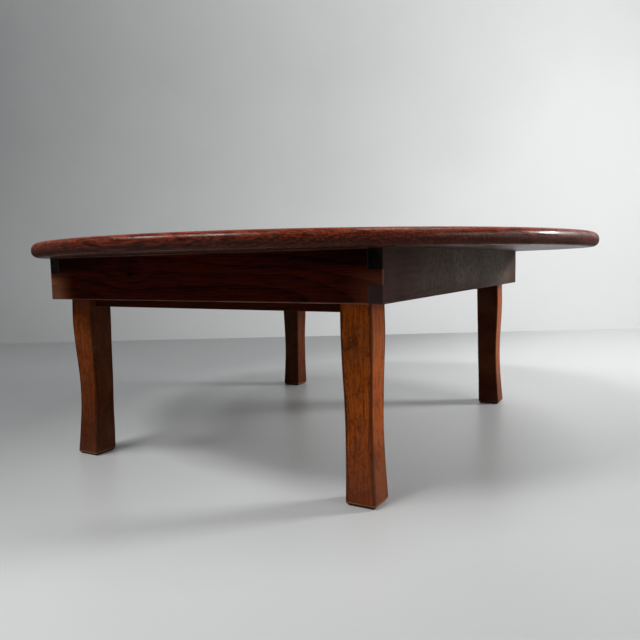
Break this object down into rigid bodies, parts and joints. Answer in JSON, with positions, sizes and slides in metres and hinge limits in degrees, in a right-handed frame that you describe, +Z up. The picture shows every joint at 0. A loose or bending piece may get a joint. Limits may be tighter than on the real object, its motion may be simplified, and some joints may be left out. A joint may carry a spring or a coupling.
{
  "type": "folding low table",
  "caption": "Round wooden low table: bullnose top on a finger-jointed apron, leg pairs that fold up inside it, and turning stays that hold them open.",
  "frame": {"origin": "on the floor, under the centre of the round top", "axes": "+X along the end boards and the leg rails, +Y along the side boards towards the back leg pair, +Z up through the top"},
  "size_m": [0.8, 0.8, 0.285],
  "materials": {
    "top_lacquer": "red-brown lacquer, polished by use",
    "apron_lacquer": "dark brown lacquer with a flame grain",
    "leg_lacquer": "orange-brown lacquer, semi-gloss",
    "rail_lacquer": "dark brown lacquer",
    "stay_wood": "thin stain, handled",
    "inner_wood": "planed, thinly stained",
    "dowel_wood": "bare hardwood",
    "screw_steel": "old slotted steel screws"
  },
  "bodies": {
    "table": {"apron_end_back": "apron_lacquer", "apron_end_front": "apron_lacquer", "apron_side_left": "apron_lacquer", "apron_side_right": "apron_lacquer", "cleat_screws": "screw_steel", "crossbar": "inner_wood", "crossbar_screws": "screw_steel", "end_cleat_back": "inner_wood", "end_cleat_front": "inner_wood", "pivot_pins": "dowel_wood", "pivot_spacers": "dowel_wood", "side_screws": "screw_steel", "stay_screws": "screw_steel", "stay_washers": "screw_steel", "top_board_1": "top_lacquer", "top_board_2": "top_lacquer", "top_board_3": "top_lacquer", "top_board_4": "top_lacquer", "top_board_5": "top_lacquer", "top_dowels": "dowel_wood"},
    "leg_pair_front": {"leg_front_left": "leg_lacquer", "leg_front_right": "leg_lacquer", "rail_front": "rail_lacquer", "rail_pegs_front": "dowel_wood", "stay_keeper_front": "dowel_wood"},
    "leg_pair_back": {"leg_back_left": "leg_lacquer", "leg_back_right": "leg_lacquer", "rail_back": "rail_lacquer", "rail_pegs_back": "dowel_wood", "stay_keeper_back": "dowel_wood"},
    "turning_stay_front": {"stay_front": "stay_wood"},
    "turning_stay_back": {"stay_back": "stay_wood"}
  },
  "joints": [
    {"name": "fold_front", "type": "hinge", "parent": "table", "child": "leg_pair_front", "pos_m": [0, -0.2601, 0.2395], "axis": [1, 0, 0], "range_deg": [0, 90]},
    {"name": "fold_back", "type": "hinge", "parent": "table", "child": "leg_pair_back", "pos_m": [0, 0.2601, 0.2395], "axis": [-1, 0, 0], "range_deg": [0, 90]},
    {"name": "turn_front", "type": "hinge", "parent": "table", "child": "turning_stay_front", "pos_m": [-0.11578, -0.0115, 0.2185], "axis": [0, 0, 1], "range_deg": [0, 81]},
    {"name": "turn_back", "type": "hinge", "parent": "table", "child": "turning_stay_back", "pos_m": [0.11578, 0.0115, 0.2185], "axis": [0, 0, 1], "range_deg": [0, 81]}
  ],
  "couplings": [
    {"joint": "turn_front", "follows": "fold_front", "ratio": 0.9},
    {"joint": "turn_back", "follows": "fold_back", "ratio": 0.9}
  ]
}
